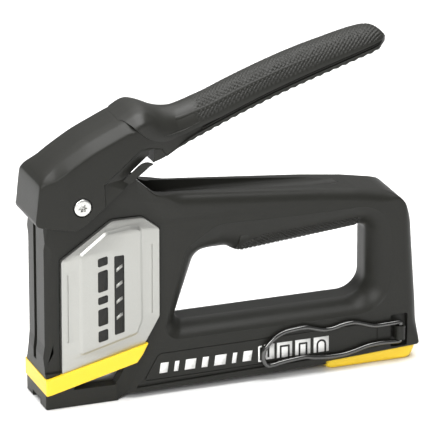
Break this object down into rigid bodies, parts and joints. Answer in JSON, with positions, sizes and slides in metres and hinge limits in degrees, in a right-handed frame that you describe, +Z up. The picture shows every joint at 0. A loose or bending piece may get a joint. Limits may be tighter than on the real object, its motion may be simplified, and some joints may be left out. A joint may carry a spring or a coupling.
{
  "type": "staple gun",
  "caption": "Hand staple gun with a lever, a closed hand opening, silver side plates, a yellow nose band and heel, and a wire belt hook.",
  "frame": {"origin": "centre of the overall box at the level of the surface that the foot and heel stand on", "axes": "+X from the nose to the heel, +Y to the tool's right side, +Z up"},
  "size_m": [0.2044, 0.0394, 0.1766],
  "materials": {
    "housing": "fine texture",
    "soft_grip": "matte",
    "silver": "satin",
    "yellow": "semi-gloss",
    "steel": "satin",
    "bright_steel": "polished",
    "black_screws": "satin"
  },
  "bodies": {
    "body": {"left_shell": "housing", "right_shell": "housing", "left_plate": "silver", "right_plate": "silver", "nose_band": "yellow", "handle_pad": "soft_grip", "chassis": "steel", "main_spring": "steel", "spring_cap": "steel", "hammer_bumper": "soft_grip", "rocker_pin": "bright_steel", "return_spring": "steel", "pivot_screws": "bright_steel", "shell_screws": "black_screws", "magazine_channel": "steel", "hook_bracket": "housing"},
    "lever": {"lever_core": "housing", "lever_grip": "soft_grip", "pivot_bushes": "housing", "roller_pin": "bright_steel"},
    "push_roller": {"push_roller": "bright_steel"},
    "rocker": {"rocker": "steel"},
    "hammer": {"hammer": "steel", "driver_blade": "bright_steel"},
    "magazine": {"staple_rail": "steel", "heel": "yellow", "heel_latch": "steel", "pusher_rod": "bright_steel", "rod_seat": "steel", "pusher_spring": "steel"},
    "pusher": {"pusher": "steel"},
    "belt_hook": {"belt_hook": "bright_steel"}
  },
  "joints": [
    {"name": "lever_swing", "type": "hinge", "parent": "body", "child": "lever", "pos_m": [-0.07895, 0, 0.1063], "axis": [0, 1, 0], "range_deg": [0, 22], "stiffness_Nm_per_rad": 3, "springref_deg": -17.19},
    {"name": "rocker_turn", "type": "hinge", "parent": "body", "child": "rocker", "pos_m": [-0.06175, 0, 0.082], "axis": [0, 1, 0], "range_deg": [0, 28.7]},
    {"name": "hammer_lift", "type": "slide", "parent": "body", "child": "hammer", "axis": [0, 0, 1], "range_m": [0, 0.0099], "deforming": ["main_spring"]},
    {"name": "roller_spin", "type": "hinge", "parent": "lever", "child": "push_roller", "pos_m": [-0.04675, 0, 0.1005], "axis": [0, 1, 0], "continuous": true},
    {"name": "magazine_slide", "type": "slide", "parent": "body", "child": "magazine", "axis": [1, 0, 0], "range_m": [0, 0.085]},
    {"name": "pusher_slide", "type": "slide", "parent": "magazine", "child": "pusher", "axis": [1, 0, 0], "range_m": [0, 0.105], "stiffness_N_per_m": 20, "springref_m": -0.05, "deforming": ["pusher_spring"]},
    {"name": "belt_hook_swing", "type": "hinge", "parent": "body", "child": "belt_hook", "pos_m": [0.09125, -0.01715, 0.0165], "axis": [0, 0, 1], "range_deg": [0, 100]}
  ],
  "couplings": [
    {"joint": "rocker_turn", "follows": "lever_swing", "ratio": 1.3},
    {"joint": "hammer_lift", "follows": "lever_swing", "m_per_rad": 0.025731}
  ]
}
